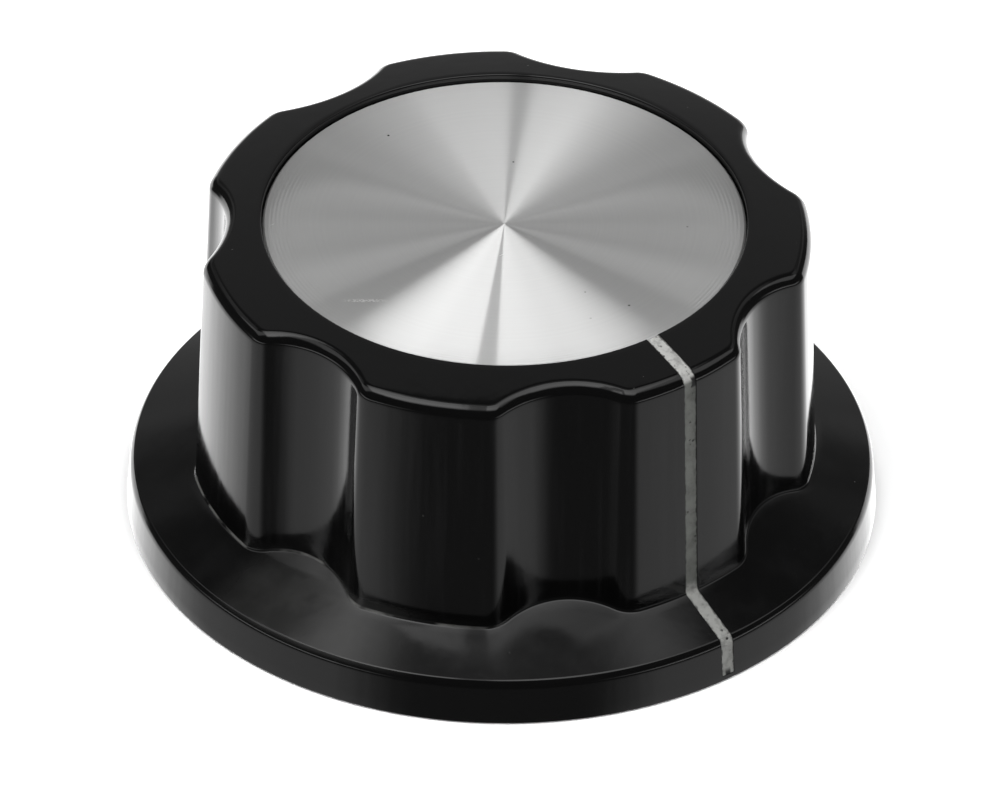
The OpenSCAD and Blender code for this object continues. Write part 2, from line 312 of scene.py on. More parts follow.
class LineSettings(bpy.types.PropertyGroup):
    """Look of the pointer line's paint."""

    tone: colour("Colour", "Colour of the clean paint", (0.92, 0.92, 0.89))
    # The dull colour is painted shade: the paint on the flank gets this darker tone, and the level faces get
    # the clean tone.
    dull: colour("Dull colour", "Colour of the paint where it is handled", (0.28, 0.29, 0.27))
    bare: colour("Bare colour", "Colour of the groove where the paint is lost", (0.02, 0.02, 0.02))
    roughness: share("Roughness", "Roughness of the paint", 0.5)
    grime_rough: share("Grime roughness", "Roughness added by grime", 0.2)
    # Share of the lit tone in the skirt's paint; the rest is the flank's painted shade.
    skirt_lit_share: share("Clean on skirt", "How clean the paint on the skirt is", 0.5)
    dark_share: share("Dark share", "Tone of dirty paint beside the clean tone", 0.4)
    light_share: number("Light share", "Lightest tone of handled paint beside the dull colour", 1.15)
    shade_share: share("Shade share", "Darkest tone of handled paint beside the dull colour", 0.5)
    pit_apart: length("Pit spacing", "Distance between pits in the paint", 0.312)
    pit_field: length("Pit field", "Size of the areas where pits gather", 0.9)
    chip_size: length("Chip size", "Size of the chips along the edges", 0.35)
    chip_reach: length("Chip reach", "How far chips reach in from the edges", 0.34)
    chip_bare: share("Chip bare", "How bare a chip is", 0.75)
    hole_size: length("Hole size", "Size of the shallow holes on the level faces", 0.3)
    hole_bare: share("Hole bare", "How bare a shallow hole is", 0.7)
    lost_size: length("Lost size", "Size of the ragged edge where the paint is lost at the bend", 0.4)
    lost_reach: length("Lost reach", "How far that edge wanders", 0.3)
    grime_size: length("Grime size", "Size of the grimy patches", 0.8)
    grime_clean: share("Grime on clean", "How far grime darkens clean paint", 0.3)
    grime_dull: share("Grime on dull", "How far grime darkens handled paint", 0.4)
    blotch_size: length("Blotch size", "Size of the blotches", 0.45)
    blotch_clean: share("Blotch on clean", "How far a blotch darkens clean paint", 0.45)
    blotch_dull: share("Blotch on dull", "How far a blotch darkens handled paint", 0.25)
    # Painted shade: the paint is darker towards +X, standing in for the shade of the groove's wall.
    painted_side_shade: share("Side on dull", "How far handled paint darkens towards +X", 0.35)
    grain_size: length("Grain size", "Size of the paint's grain", 0.12)
    grain_h: length("Grain height", "Height of the grain", 0.02)
    pit_h: length("Pit depth", "Depth of pits and holes", 0.03)


class HardwareSettings(bpy.types.PropertyGroup):
    """Look of the bush and the screw."""

    brass: colour("Brass", "Colour of the bush", (0.66, 0.47, 0.19))
    brass_rough: share("Brass roughness", "Roughness of clean brass", 0.24)
    tarnish_share: share("Tarnish", "Tone of tarnished brass beside the clean tone", 0.55)
    tarnish_rough: share("Tarnish roughness", "Roughness added by tarnish", 0.25)
    tarnish_size: length("Tarnish size", "Size of the tarnished patches", 2.0)
    tool_turns: number("Tool marks", "Turn of the tool marks' wave for each millimetre, in radians", 40.0)
    tool_h: length("Tool mark height", "Height of the tool marks", 0.003)
    sway: number("Tool mark sway", "Wander of the tool marks' wave, in radians", 2.0)
    sway_size: length("Sway size", "Distance over which the tool marks wander", 3.0)
    brass_grain: length("Brass grain", "Size of the brass's grain", 0.2)
    brass_grain_h: length("Brass grain height", "Height of the brass's grain", 0.004)
    steel: colour("Steel", "Colour of the screw", (0.22, 0.22, 0.23))
    steel_rough: share("Steel roughness", "Roughness of oiled steel", 0.34)
    worn_share: number("Worn steel", "Tone of worn steel beside the oiled tone", 1.8)
    worn_rough: share("Worn roughness", "Roughness added by wear", 0.2)
    worn_size: length("Worn size", "Size of the worn patches", 0.6)
    thread: length("Thread pitch", "Pitch of the screw's thread", 0.7)
    thread_h: length("Thread height", "Height of the thread marks", 0.05)
    steel_grain: length("Steel grain", "Size of the steel's grain", 0.15)
    steel_grain_h: length("Steel grain height", "Height of the steel's grain", 0.006)


class StageSettings(bpy.types.PropertyGroup):
    """Camera, floor and light."""

    azimuth: angle("Azimuth", "Camera azimuth, nought looking along +Y", -37.25)
    elevation: angle("Elevation", "Camera elevation", 37.046)
    roll: angle("Roll", "Camera roll", 0.624)
    distance: length("Distance", "Camera distance", 986.0)
    aim: FloatVectorProperty(name="Aim", description="Point the camera looks at", size=3,
                             default=(-0.000098, 0.0000745, 0.00596), subtype="XYZ", precision=6)
    lens: number("Lens", "Focal length in millimetres", 701.9)
    sensor: number("Sensor", "Sensor width in millimetres", 36.0)
    clip_near: length("Clip near", "Nearest distance that the camera sees", 10.0)
    clip_far: length("Clip far", "Farthest distance that the camera sees", 10000.0)
    key: number("Key", "Level of the panel above the camera's side", 1.9)
    sides: number("Sides", "Level of the dim panels at both sides", 0.3)
    wings: number("Wings", "Level of the wings beside the panel", 0.85)
    room_back: number("Room behind", "Level of the room behind the knob", 0.17)
    room_dark: number("Room", "Level of the rest of the room", 0.07)
    floor_reach: length("Floor reach", "From the middle of the floor to its sides", 3000.0)
    floor_drop: length("Floor drop", "From the knob's foot down to the floor", 0.02)
    floor_tone: number("Floor", "Tone of the floor", 0.75)
    floor_white: number("Floor white", "Floor as the camera sees it", 2.3)
    floor_front: number("Floor front", "Mirrored floor towards the camera", 0.05)
    floor_side: number("Floor side", "Mirrored floor at the sides", 0.6)
    floor_behind: number("Floor behind", "Mirrored floor behind", 2.2)
    floor_far: number("Floor far", "Added to the mirrored floor close to the horizon", 1.8)


class Value:
    """One value of a node tree, with Python arithmetic."""

    def __init__(self, tree, socket):
        self.tree = tree
        self.socket = socket

    def put(self, socket, value):
        """Feeds a value or a constant into a socket."""
        if isinstance(value, Value):
            self.tree.links.new(value.socket, socket)
        elif hasattr(socket.default_value, "__len__") and not hasattr(value, "__len__"):
            socket.default_value = [value] * 3 + [1.0] * (len(socket.default_value) - 3)
        elif hasattr(value, "__len__") and len(value) == 3 and len(socket.default_value) == 4:
            socket.default_value = (*value, 1.0)
        else:
            socket.default_value = value

    def node(self, kind, settings=None, sockets=None, out=0):
        """Adds a node with its settings and sockets and returns one of its outputs, or a tuple of them."""
        made = self.tree.nodes.new(kind)
        for name, value in (settings or {}).items():
            setattr(made, name, value)
        for name, value in (sockets or {}).items():
            self.put(made.inputs[name], value)
        if isinstance(out, tuple):
            return tuple(Value(self.tree, made.outputs[name]) for name in out)
        return Value(self.tree, made.outputs[out] if made.outputs else None)

    def maths(self, operation, *values):
        """Adds one Math node."""
        return self.node("ShaderNodeMath", {"operation": operation}, dict(enumerate(values)))

    def __add__(self, other):
        return self.maths("ADD", self, other)

    def __radd__(self, other):
        return self.maths("ADD", other, self)

    def __sub__(self, other):
        return self.maths("SUBTRACT", self, other)

    def __rsub__(self, other):
        return self.maths("SUBTRACT", other, self)

    def __mul__(self, other):
        return self.maths("MULTIPLY", self, other)

    def __rmul__(self, other):
        return self.maths("MULTIPLY", other, self)

    def __truediv__(self, other):
        return self.maths("DIVIDE", self, other)

    def __rtruediv__(self, other):
        return self.maths("DIVIDE", other, self)

    def __neg__(self):
        return self.maths("MULTIPLY", self, -1.0)

    def __abs__(self):
        return self.maths("ABSOLUTE", self)

    def wave(self):
        """Sine of this value."""
        return self.maths("SINE", self)

    def root(self):
        """Square root of this value."""
        return self.maths("SQRT", self)

    def most(self, other):
        """The larger of two values."""
        return self.maths("MAXIMUM", self, other)

    def least(self, other):
        """The smaller of two values."""
        return self.maths("MINIMUM", self, other)

    def step(self, low, high):
        """Smooth change from nought at low to one at high, which may be the smaller."""
        return self.node("ShaderNodeMapRange", {"interpolation_type": "SMOOTHSTEP"},
                         {"Value": self, "From Min": low, "From Max": high})

    def window(self, low, high, soft):
        """One between low and high, with soft ends."""
        return self.step(low - soft, low + soft) * self.step(high + soft, high - soft)

    def mix(self, first, second):
        """First colour where this value is nought, second where it is one."""
        return self.node("ShaderNodeMix", {"data_type": "RGBA"}, {"Factor": self, 6: first, 7: second}, out=2)

    def blend(self, first, second):
        """First shader where this value is nought, second where it is one."""
        return self.node("ShaderNodeMixShader", None, {0: self, 1: first, 2: second})


class Look:
    """A new material with its object coordinates in millimetres ready for use."""

    def __init__(self, name):
        self.material = bpy.data.materials.new(name)
        self.material.use_nodes = True
        self.material.node_tree.nodes.clear()
        self.start = Value(self.material.node_tree, None)
        coords = self.start.node("ShaderNodeTexCoord", out="Object")
        enlarge = {"operation": "SCALE"}
        self.at = self.start.node("ShaderNodeVectorMath", enlarge, {0: coords, "Scale": 1.0 / MM})
        self.x, self.y, self.z = self.start.node("ShaderNodeSeparateXYZ", None, {0: self.at}, ("X", "Y", "Z"))
        self.r = (self.x * self.x + self.y * self.y).root()

    def noise(self, size, detail=2.0, roughness=0.5, at=None):
        """Cloudy noise with features of a given length, centred on a half."""
        return self.start.node("ShaderNodeTexNoise", None, {
            "Vector": at or self.at, "Scale": MM / size, "Detail": detail, "Roughness": roughness})

    def patches(self, size, low, high, detail=2.0, roughness=0.5, at=None):
        """Soft patches of a given length, nought where the noise is at low and one where it is at high."""
        return self.noise(size, detail, roughness, at).step(low, high)

    def dots(self, apart, rim, core, at=None):
        """Scattered dots a given length apart, nought at rim and one at core, in shares of that length."""
        cells = self.start.node("ShaderNodeTexVoronoi", None, {"Vector": at or self.at, "Scale": MM / apart})
        return cells.step(rim, core)

    def stretched(self, sx, sy, sz):
        """Coordinates with each axis divided by its own stretch."""
        return self.start.node("ShaderNodeVectorMath", {"operation": "DIVIDE"}, {0: self.at, 1: (sx, sy, sz)})

    def fade(self, height, ends):
        """Change from nought to one between two ends, in millimetres above a height."""
        return self.z.step(height + ends[0], height + ends[1])

    def bump(self, height):
        """Normal raised by a height given in millimetres."""
        return self.start.node("ShaderNodeBump", None, {"Height": height, "Strength": 1.0, "Distance": MM})

    def shader(self, **sockets):
        """One principled shader, with its sockets' spaces written as underscores."""
        named = {name.replace("_", " "): value for name, value in sockets.items()}
        return self.start.node("ShaderNodeBsdfPrincipled", None, named)

    def close(self, shader):
        """Ends the material with a shader."""
        self.start.node("ShaderNodeOutputMaterial", None, {"Surface": shader})
        return self.material

    def finish(self, **sockets):
        """Ends the material with one principled shader."""
        return self.close(self.shader(**sockets))


def scaled(tone, factor):
    """A colour times a factor."""
    return tuple(factor * c for c in tone)


def toward(a):
    """Unit vectors at angles in a plane."""
    return np.array([np.cos(a), np.sin(a)]).T


def swung(xy, a):
    """Points in plan turned about the shaft axis."""
    c, d = math.cos(a), math.sin(a)
    return np.column_stack([xy[:, 0] * c - xy[:, 1] * d, xy[:, 0] * d + xy[:, 1] * c])


def span(start, end, steps):
    """Evenly spaced values over a number of steps, both ends among them."""
    return np.linspace(start, end, steps + 1)


def radii(xy):
    """Lengths of vectors in a plane, such as the distances of points in plan from the shaft axis."""
    return np.linalg.norm(xy, axis=1)


def plan(s, grow):
    """Points round the grip in plan, moved out by grow, with a lobe's middle on the pointer."""
    half = math.pi / s.flutes
    flute_c = s.grip_r - s.flute_depth + s.flute_r
    corner_c = s.grip_r - s.corner_r
    reach = s.flute_r + s.corner_r
    swing = math.acos((corner_c**2 + flute_c**2 - reach**2) / (2 * corner_c * flute_c))
    corner = corner_c * toward(half - swing)
    flute = flute_c * toward(half)
    end = math.atan2(flute[1] - corner[1], flute[0] - corner[0])
    points = np.concatenate([
        (s.grip_r + grow) * toward(span(0, half - swing, LOBE_STEPS)),
        corner + (s.corner_r + grow) * toward(span(half - swing, end, CORNER_STEPS)[1:]),
        flute - (s.flute_r - grow) * toward(span(end, half, FLUTE_STEPS)[1:]),
    ])
    mirrored = points[-2:0:-1] * (1, -1)
    one = np.concatenate([points, swung(mirrored, 2 * half)])
    return np.concatenate([swung(one, 2 * half * k - math.pi / 2) for k in range(s.flutes)])


def skirt_z(s, r):
    """Height of the skirt's upper face at a radius."""
    return s.rim_h + (s.edge_r - r) * math.tan(s.skirt_slope)


def dome_z(s, r):
    """Height of the domed top at a radius."""
    return s.knob_h - math.sqrt(s.dome_r**2 - s.lip_r**2) + np.sqrt(s.dome_r**2 - np.asarray(r) ** 2)


def heights(s):
    """Heights of the rim's edge, the lobes' foot and the lobes' top, in millimetres."""
    return s.rim_h / MM, skirt_z(s, s.grip_r) / MM, float(dome_z(s, s.grip_r)) / MM


def rounded(corner, a1, a2, r):
    """Points of the sole's rounding, whose normals turn from a1 to a2 about an outer corner."""
    n1, n2 = toward(a1), toward(a2)
    centre = np.array(corner) - r * (n1 + n2) / (1 + n1 @ n2)
    return centre + r * toward(span(a1, a2, SOLE_STEPS))


def rim_profile(s):
    """Points of the rim's rounding, from the faint edge at the skirt down to the leaning rim."""
    turn = math.pi / 2 - s.skirt_slope - s.rim_lean
    run = s.rim_round * (math.cos(s.rim_break) - math.cos(turn)) / math.sin(turn)
    corner = np.array([s.edge_r, s.rim_h])
    centre = corner - s.rim_round * toward(s.rim_lean) + run * toward(s.rim_lean - math.pi / 2)
    return centre + s.rim_round * toward(s.rim_lean + span(turn - s.rim_break, 0, RIM_STEPS))


def edge_profile(s):
    """Growth and drop of the plan over the upper edge, from the flank to the top."""
    top = -(dome_z(s, s.grip_r) - skirt_z(s, s.grip_r)) * math.tan(s.grip_draft)
    a = span(0, math.pi / 2, EDGE_STEPS)
    return top - s.edge_round * (1 - np.cos(a)), -s.edge_round * (1 - np.sin(a))


def foot_profile(s):
    """Growth and lift of the plan over the foot, from the skirt to the flank."""
    a = span(0, math.pi / 2, FOOT_STEPS)
    return s.foot_round * (1 - np.sin(a)), s.foot_round * (1 - np.cos(a))


def loop(xy, z):
    """Closed loop of points in plan, at one height or at a height each."""
    return np.column_stack([xy, np.broadcast_to(z, len(xy))])


def grip_loops(s, way):
    """Loops from the recess floor over the lip, the top and the edge and down the flank to the skirt."""
    loops = [loop(way * s.recess_r, z) for z in (s.recess_floor, (s.recess_floor + s.knob_h) / 2)]
    for a in math.pi * (1 - span(0, 1, LIP_STEPS) / 2):
        lip_z = dome_z(s, s.lip_r) - s.lip_bevel * (1 - math.sin(a))
        loops.append(loop(way * (s.lip_r + s.lip_bevel * math.cos(a)), lip_z))
    grow, drop = edge_profile(s)
    crown = plan(s, grow[-1])
    for t in span(0, 1, RING_STEPS)[1:]:
        xy = way * s.lip_r * (1 - t) + crown * t
        loops.append(loop(xy, dome_z(s, radii(xy))))
    for g, d in zip(grow[-2::-1], drop[-2::-1]):
        xy = plan(s, g)
        loops.append(loop(xy, dome_z(s, radii(xy)) + d))
    upper = loops[-1]
    grow, lift = foot_profile(s)
    xy = plan(s, grow[-1])
    lower = loop(xy, skirt_z(s, radii(xy)) + lift[-1])
    loops += [upper + (lower - upper) * t for t in span(0, 1, FLANK_STEPS)[1:-1]]
    for g, d in zip(grow[::-1], lift[::-1]):
        xy = plan(s, g)
        loops.append(loop(xy, skirt_z(s, radii(xy)) + d))
    return loops


def skirt_loops(s, way, foot):
    """Loops from the grip's foot over the skirt and down the rim to the edge that the knob stands on."""
    loops = []
    rim = rim_profile(s)
    for t in (*span(0, 1, SKIRT_STEPS)[1:-1], BREAK_SHARE):
        xy = foot * (1 - t) + way * rim[0, 0] * t
        loops.append(loop(xy, skirt_z(s, radii(xy))))
    sole = rounded((s.skirt_r, 0.0), s.rim_lean, -math.pi / 2, s.foot_edge)
    face = [rim[-1] + (sole[0] - rim[-1]) * t for t in RIM_SHARES]
    return loops + [loop(way * r, z) for r, z in (*rim, *face, *sole)]


def under_loops(s, way):
    """Loops from the standing rim through the relief and the hollow to the boss and its bush seat."""
    stand_r = s.skirt_r - s.stand_w
    section = [(stand_r, 0.0), (stand_r, s.relief_h), (s.hollow_r, s.relief_h), (s.hollow_r, s.hollow_h),
               (s.boss_r, s.hollow_h), (s.boss_r, s.boss_lift)]
    turn = np.mod(np.arctan2(way[:, 1], way[:, 0]), math.pi / 3) - math.pi / 6
    seat = way * (s.bush_r * SEAT_SHARE / np.cos(turn))[:, None]
    return [loop(way * r, z) for r, z in section] + [loop(seat, s.boss_lift), loop(seat, s.seat_top)]


def moulding_loops(s):
    """Loops of the moulding's skin from the recess over the grip and the skirt to the bush seat."""
    base = plan(s, 0.0)
    way = base / radii(base)[:, None]
    grip = grip_loops(s, way)
    return grip + skirt_loops(s, way, grip[-1][:, :2]) + under_loops(s, way)


def solid(name, loops):
    """Closed object lofted through loops of equal count and capped about their middles."""
    count = len(loops[0])
    points = np.concatenate([*loops, loops[0].mean(0)[None], loops[-1].mean(0)[None]])
    j = np.arange(count)
    k = (j + 1) % count
    first, last = len(loops) * count, len(loops) * count + 1
    low = (len(loops) - 1) * count
    faces = [np.column_stack([i * count + j, (i + 1) * count + j, (i + 1) * count + k, i * count + k])
             for i in range(len(loops) - 1)]
    caps = [np.column_stack([np.full(count, first), j, k]),
            np.column_stack([np.full(count, last), low + k, low + j])]
    return block(name, points, [f for g in faces + caps for f in g.tolist()])


def block(name, points, faces):
    """Object from points and faces, linked to the scene."""
    mesh = bpy.data.meshes.new(name)
    mesh.from_pydata([tuple(p) for p in np.asarray(points, float)], [], faces)
    shape = bmesh.new()
    shape.from_mesh(mesh)
    bmesh.ops.recalc_face_normals(shape, faces=shape.faces)
    shape.to_mesh(mesh)
    shape.free()
    made = bpy.data.objects.new(name, mesh)
    bpy.context.scene.collection.objects.link(made)
    return made


def line_path(s):
    """Section of the pointer lobe from just inside the recess outward and down to the groove's end."""
    start_r = s.recess_r - s.disc_play / 2
    grow, drop = edge_profile(s)
    top = [(r, float(dome_z(s, r))) for r in span(start_r, s.grip_r + grow[-1], LINE_STEPS)[:-1]]
    edge = [(s.grip_r + g, float(dome_z(s, s.grip_r + g)) + d) for g, d in zip(grow[::-1], drop[::-1])]
    grow, lift = foot_profile(s)
    foot = [(s.grip_r + g, skirt_z(s, s.grip_r + g) + d) for g, d in zip(grow[::-1], lift[::-1])]
    end = [(s.skirt_r - s.line_end * math.tan(s.rim_lean), s.line_end)]
    return np.array(top + edge + foot + rim_profile(s).tolist() + end)


def moved(path, out):
    """A section path moved out along its normals."""
    d = np.diff(path, axis=0)
    n = np.column_stack([-d[:, 1], d[:, 0]]) / radii(d)[:, None]
    n1, n2 = np.vstack([n[:1], n]), np.vstack([n, n[-1:]])
    return path + out * (n1 + n2) / (1 + (n1 * n2).sum(1))[:, None]


def band(name, path, high, low, width):
    """Strip along the pointer between two distances from the section path."""
    upper, lower = moved(path, high), moved(path, low)
    sides = [np.column_stack([np.full(len(path), x), -p[:, 0], p[:, 1]])
             for x in (-width / 2, width / 2) for p in (upper, lower)]
    n = len(path)
    faces = [[0, n, 3 * n, 2 * n], [n - 1, 3 * n - 1, 4 * n - 1, 2 * n - 1]]
    for i in range(n - 1):
        for a, b in ((0, 2), (1, 3), (0, 1), (2, 3)):
            faces.append([a * n + i, a * n + i + 1, b * n + i + 1, b * n + i])
    return block(name, np.concatenate(sides), faces)


def rod(name, start, end, r):
    """Cylinder along Y between two points."""
    a = np.linspace(0, 2 * math.pi, ROD_SIDES, endpoint=False)
    hoop = r * np.column_stack([-np.sin(a), np.zeros(ROD_SIDES), -np.cos(a)])
    return solid(name, [hoop + np.array(start), hoop + np.array(end)])


def box(name, low, high, turn):
    """Box between two corners, turned about the shaft axis."""
    x, y, z = zip(low, high)
    points = np.array([(x[i & 1], y[i >> 1 & 1], z[i >> 2 & 1]) for i in range(8)])
    points = np.column_stack([swung(points[:, :2], turn), points[:, 2]])
    faces = [[0, 2, 3, 1], [4, 5, 7, 6], [0, 1, 5, 4], [2, 6, 7, 3], [0, 4, 6, 2], [1, 3, 7, 5]]
    return block(name, points, faces)


def combine(target, tools, operation):
    """Joins tools into target, or cuts them from it, and drops the tools."""
    for tool in tools:
        cut = target.modifiers.new(tool.name, "BOOLEAN")
        cut.operation = operation
        cut.solver = "MANIFOLD"
        cut.object = tool
    shaped = target.evaluated_get(bpy.context.evaluated_depsgraph_get())
    mesh = bpy.data.meshes.new_from_object(shaped)
    target.modifiers.clear()
    target.data = mesh
    for tool in tools:
        bpy.data.objects.remove(tool)


def smooth(piece, limit):
    """Smooth shading that keeps edges sharper than limit."""
    piece.data.shade_smooth()
    piece.data.set_sharp_from_angle(angle=limit)


def dress(piece, material):
    """Gives a piece its one material."""
    piece.data.materials.clear()
    piece.data.materials.append(material)


def phenolic(p, s):
    """Glossy black moulding with soft waves up the flank, smudges, dust and scratches, a painted sheen on one
    side of the skirt and a painted highlight along the grip's foot.
    """
    look = Look("phenolic")
    rim, foot, top = heights(s)
    skirt = look.fade(rim, SKIRT_FROM_RIM) * look.fade(foot, SKIRT_TO_FOOT)
    flank = look.fade(foot, FLANK_FROM_FOOT) * look.fade(top, FLANK_TO_TOP)
    haze = look.patches(p.haze_size, low=0.42, high=0.75, detail=4.0, roughness=0.6)
    fine = look.noise(p.fine_size, detail=3.0, roughness=0.6)
    smudge = look.patches(p.smudge_size, low=0.40, high=0.78, detail=3.0) * skirt
    upward = look.stretched(1.0, 1.0, p.streak_draw)
    streaks = look.patches(p.streak_size, low=0.48, high=0.74, at=upward) * flank
    specks = look.dots(p.speck_apart, rim=0.05, core=0.03) * look.patches(p.speck_field, low=0.5, high=0.62)
    scratches = look.dots(p.scratch_apart, rim=0.06, core=0.03, at=look.stretched(*p.scratch_draw))
    scratches = scratches * look.patches(p.scratch_field, low=0.6, high=0.68)
    marks = (specks * p.speck_wear + scratches * skirt).least(1.0)

    # Painted highlight: a light, rougher line along the grip's foot, in stretches, fading in towards -X.
    above = look.z - skirt_z(s, 0.0) / MM + look.r * math.tan(s.skirt_slope)
    foot_highlight_h = p.foot_highlight_h / MM
    foot_highlight = above.step(0.0, foot_highlight_h / 4) * above.step(foot_highlight_h, foot_highlight_h / 2)
    foot_highlight = foot_highlight * look.patches(p.foot_highlight_size, low=0.46, high=0.6)
    foot_highlight = foot_highlight * (-look.x).step(p.foot_highlight_start / MM, p.foot_highlight_full / MM)

    drawn = look.noise(p.wave_size, at=look.stretched(1.0, 1.0, p.wave_draw)) * (p.wave_h / MM)
    swell = look.noise(p.swell_size, detail=1.0) * (p.swell_h / MM)
    waviness = drawn * (1 - p.skirt_calm * skirt) + swell + fine * (p.fine_h / MM)

    # Painted sheen: a lighter sector of the skirt around one bearing, stronger where smudged.
    facing = (look.x * math.cos(p.sheen_bearing) + look.y * math.sin(p.sheen_bearing)) / look.r
    skirt_sheen = facing.step(math.cos(p.sheen_spread), 1.0) * skirt * (p.sheen_cover + p.sheen_smudge * smudge)
    tone = (smudge * p.smudge_wear + streaks * p.streak_wear).mix(p.tone, scaled(p.tone, p.wear_lift))
    tone = marks.mix(skirt_sheen.least(1.0).mix(tone, p.sheen_tone), p.speck_tone)
    rough = p.gloss + haze * p.haze_rough + fine.step(0.5, 0.8) * p.fine_rough
    rough = rough + smudge * p.smudge_rough + streaks * p.streak_rough
    return look.finish(
        # The painted highlight at the grip's foot is laid over the colour here.
        Base_Color=(foot_highlight * p.foot_highlight_cover).mix(tone, p.foot_highlight_tone),
        Roughness=rough + marks * p.speck_rough + foot_highlight * p.foot_highlight_rough,
        IOR=p.ior,
        Normal=look.bump(waviness),
    )


def turned_aluminium(p):
    """Face-turned aluminium: rings with leaning faces, drawn-out reflections, pits and a rubbed patch."""
    look = Look("turned_aluminium")
    turns = look.r * (2 * math.pi * MM / p.pitch)
    ripple = look.start.node("ShaderNodeCombineXYZ", None, {0: look.r * p.rings_per_mm})
    rings = look.noise(MM, detail=3.0, roughness=0.7, at=ripple)
    outer = look.r.step(p.edge_start / MM, p.edge_full / MM)
    marks = turns.wave() * (p.turn_h / MM + outer * (p.edge_turn_h / MM)) + rings * (p.ring_h / MM)

    pits = look.dots(p.pit_apart, rim=0.05, core=0.025) * look.patches(p.pit_field, low=0.52, high=0.6)
    scratches = look.dots(p.scratch_apart, rim=0.05, core=0.02, at=look.stretched(*p.scratch_draw))
    scratches = scratches * look.patches(p.scratch_field, low=0.58, high=0.64)
    x, y = look.x - p.rub_x / MM, look.y - p.rub_y / MM
    c, d = math.cos(p.rub_bearing), math.sin(p.rub_bearing)
    rub_l, rub_w = p.rub_l / MM, p.rub_w / MM
    rub = abs(x * c + y * d).step(rub_l / 2, rub_l / 8) * abs(y * c - x * d).step(rub_w / 2, rub_w / 6)
    rub = rub * look.patches(p.rub_size, low=0.42, high=0.6, detail=3.0, roughness=0.6)

    stain = look.patches(p.stain_size, low=0.5, high=0.8, detail=4.0, roughness=0.6)
    stain = rings.step(0.35, 0.65) * p.ring_stain + stain * p.patch_stain
    face = pits.mix(stain.mix(p.tone, scaled(p.tone, p.stain_share)), p.pit_tone)
    flat_r = look.r.least(p.face_r / MM)

    def faces(lean, roughness):
        """Faces of the turning marks that lean outward by an angle."""
        return look.shader(
            Base_Color=face,
            Metallic=1.0,
            Roughness=roughness,
            Anisotropic=p.anisotropy,
            Anisotropic_Rotation=p.draw_turn,
            Normal=look.bump(marks - flat_r * math.tan(lean)),
        )

    marked = look.start.node("ShaderNodeMixShader", None, {
        0: p.inward, 1: faces(p.facet, p.roughness), 2: faces(-p.back_facet, p.back_roughness)})
    hazy = look.shader(Base_Color=face, Metallic=1.0, Roughness=p.hazy_roughness)
    haze = p.haze + look.r.step(p.haze_start / MM, p.edge_full / MM) * p.edge_haze
    return look.close((haze + scratches.most(rub) * p.scratch_haze).blend(marked, hazy))


def line_paint(p, s):
    """Off-white filler, with a lit tone on the level faces and painted shade on the flank and towards +X,
    with open pits, chipped edges and a worn end.
    """
    look = Look("line_paint")
    foot, top = heights(s)[1:]
    # Painted shade: the level faces get the lit tone and the flank gets the darker tone.
    level = look.fade(top, PAINT_FROM_TOP).most(look.fade(foot, PAINT_TO_FOOT) * p.skirt_lit_share)
    pits = look.dots(p.pit_apart, rim=0.3, core=0.16) * look.patches(p.pit_field, low=0.52, high=0.62)
    chips = look.noise(p.chip_size, detail=3.0, roughness=0.6) * (p.chip_reach / MM)
    chips = (abs(look.x) + chips).step(*CHIP_ACROSS)
    holes = look.patches(p.hole_size, low=0.62, high=0.74) * level
    worn = look.fade(s.line_end / MM, WORN_TO_END) * abs(look.x).step(*WORN_ACROSS)
    bend = look.fade(top, BEND_FROM_TOP) * look.fade(top, BEND_TO_TOP)
    lost = bend * (look.x + look.noise(p.lost_size) * (p.lost_reach / MM)).step(*LOST_ACROSS)
    gone = pits.most(worn).most(lost).most(chips * p.chip_bare).most(holes * p.hole_bare)

    grime = look.patches(p.grime_size, low=0.35, high=0.75, detail=4.0, roughness=0.7)
    blotch = look.patches(p.blotch_size, low=0.46, high=0.66, detail=3.0, roughness=0.6)
    dirt = grime * p.grime_clean + blotch * p.blotch_clean
    # The clean tone is the lit paint, darkened by grime and blotches.
    clean = dirt.mix(p.tone, scaled(p.tone, p.dark_share))
    # Grime and blotches, plus painted shade that darkens the paint towards +X.
    grime_and_side_shade = grime * p.grime_dull + blotch * p.blotch_dull + look.x.step(*SHADE_ACROSS) * p.painted_side_shade
    # Painted shade: the flank's paint is darker than on the level faces, and grime and blotches vary it.
    shaded_and_grimy = grime_and_side_shade.least(1.0).mix(scaled(p.dull, p.light_share), scaled(p.dull, p.shade_share))
    grain = look.noise(p.grain_size, detail=3.0) * (p.grain_h / MM)
    return look.finish(
        Base_Color=gone.mix(level.mix(shaded_and_grimy, clean), p.bare),
        Roughness=p.roughness + grime * p.grime_rough,
        Normal=look.bump(grain - pits * (p.pit_h / MM) - holes * (p.pit_h / MM)),
    )


def brass(p):
    """Machined brass, a little tarnished."""
    look = Look("brass")
    rings = (look.r * p.tool_turns + look.noise(p.sway_size) * p.sway).wave()
    tarnish = look.patches(p.tarnish_size, low=0.45, high=0.75, detail=4.0, roughness=0.6)
    grain = look.noise(p.brass_grain, detail=3.0) * (p.brass_grain_h / MM)
    return look.finish(
        Base_Color=tarnish.mix(p.brass, scaled(p.brass, p.tarnish_share)),
        Metallic=1.0,
        Roughness=p.brass_rough + tarnish * p.tarnish_rough,
        Normal=look.bump(rings * (p.tool_h / MM) + grain),
    )


def screw_steel(p):
    """Dark oiled steel with thread marks."""
    look = Look("screw_steel")
    thread = (look.y * (2 * math.pi * MM / p.thread)).wave()
    wear = look.patches(p.worn_size, low=0.5, high=0.75, detail=4.0, roughness=0.7)
    grain = look.noise(p.steel_grain, detail=3.0) * (p.steel_grain_h / MM)
    return look.finish(
        Base_Color=wear.mix(p.steel, scaled(p.steel, p.worn_share)),
        Metallic=1.0,
        Roughness=p.steel_rough + wear * p.worn_rough,
        Normal=look.bump(thread * (p.thread_h / MM) + grain),
    )


